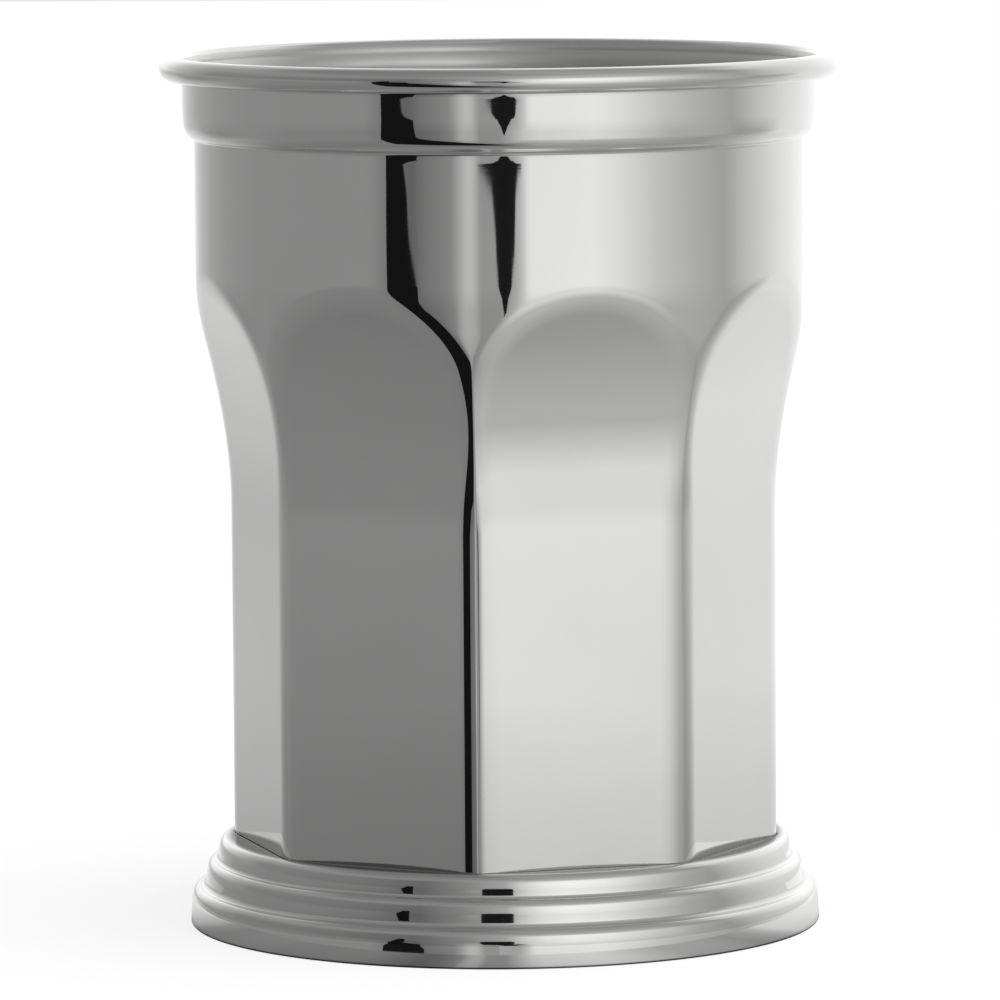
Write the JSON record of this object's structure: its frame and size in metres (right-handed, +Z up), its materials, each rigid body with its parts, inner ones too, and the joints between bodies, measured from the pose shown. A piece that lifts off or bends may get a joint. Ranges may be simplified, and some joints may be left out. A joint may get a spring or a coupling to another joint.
{
  "type": "julep cup",
  "caption": "Metal julep cup with a rolled lip, a raised collar, a round upper body, a lower body pressed into flat arched panels, and a stepped round foot.",
  "frame": {"origin": "centre of the foot at table level", "axes": "+Z up along the cup's axis towards its mouth; the ridges between the panels lie on X and Y and halfway between them, and -Y is the front"},
  "size_m": [0.0878, 0.0878, 0.113],
  "materials": {
    "polished_cup": "mirror-polished steel, inside softly polished",
    "polished_foot": "mirror-polished steel",
    "plate_metal": "satin steel with fine turning lines",
    "solder": "dull grey solder"
  },
  "bodies": {
    "root": {"cup_shell": "polished_cup", "stepped_foot": "polished_foot", "base_plate": "plate_metal", "foot_solder": "solder", "plate_solder": "solder"}
  },
  "joints": []
}
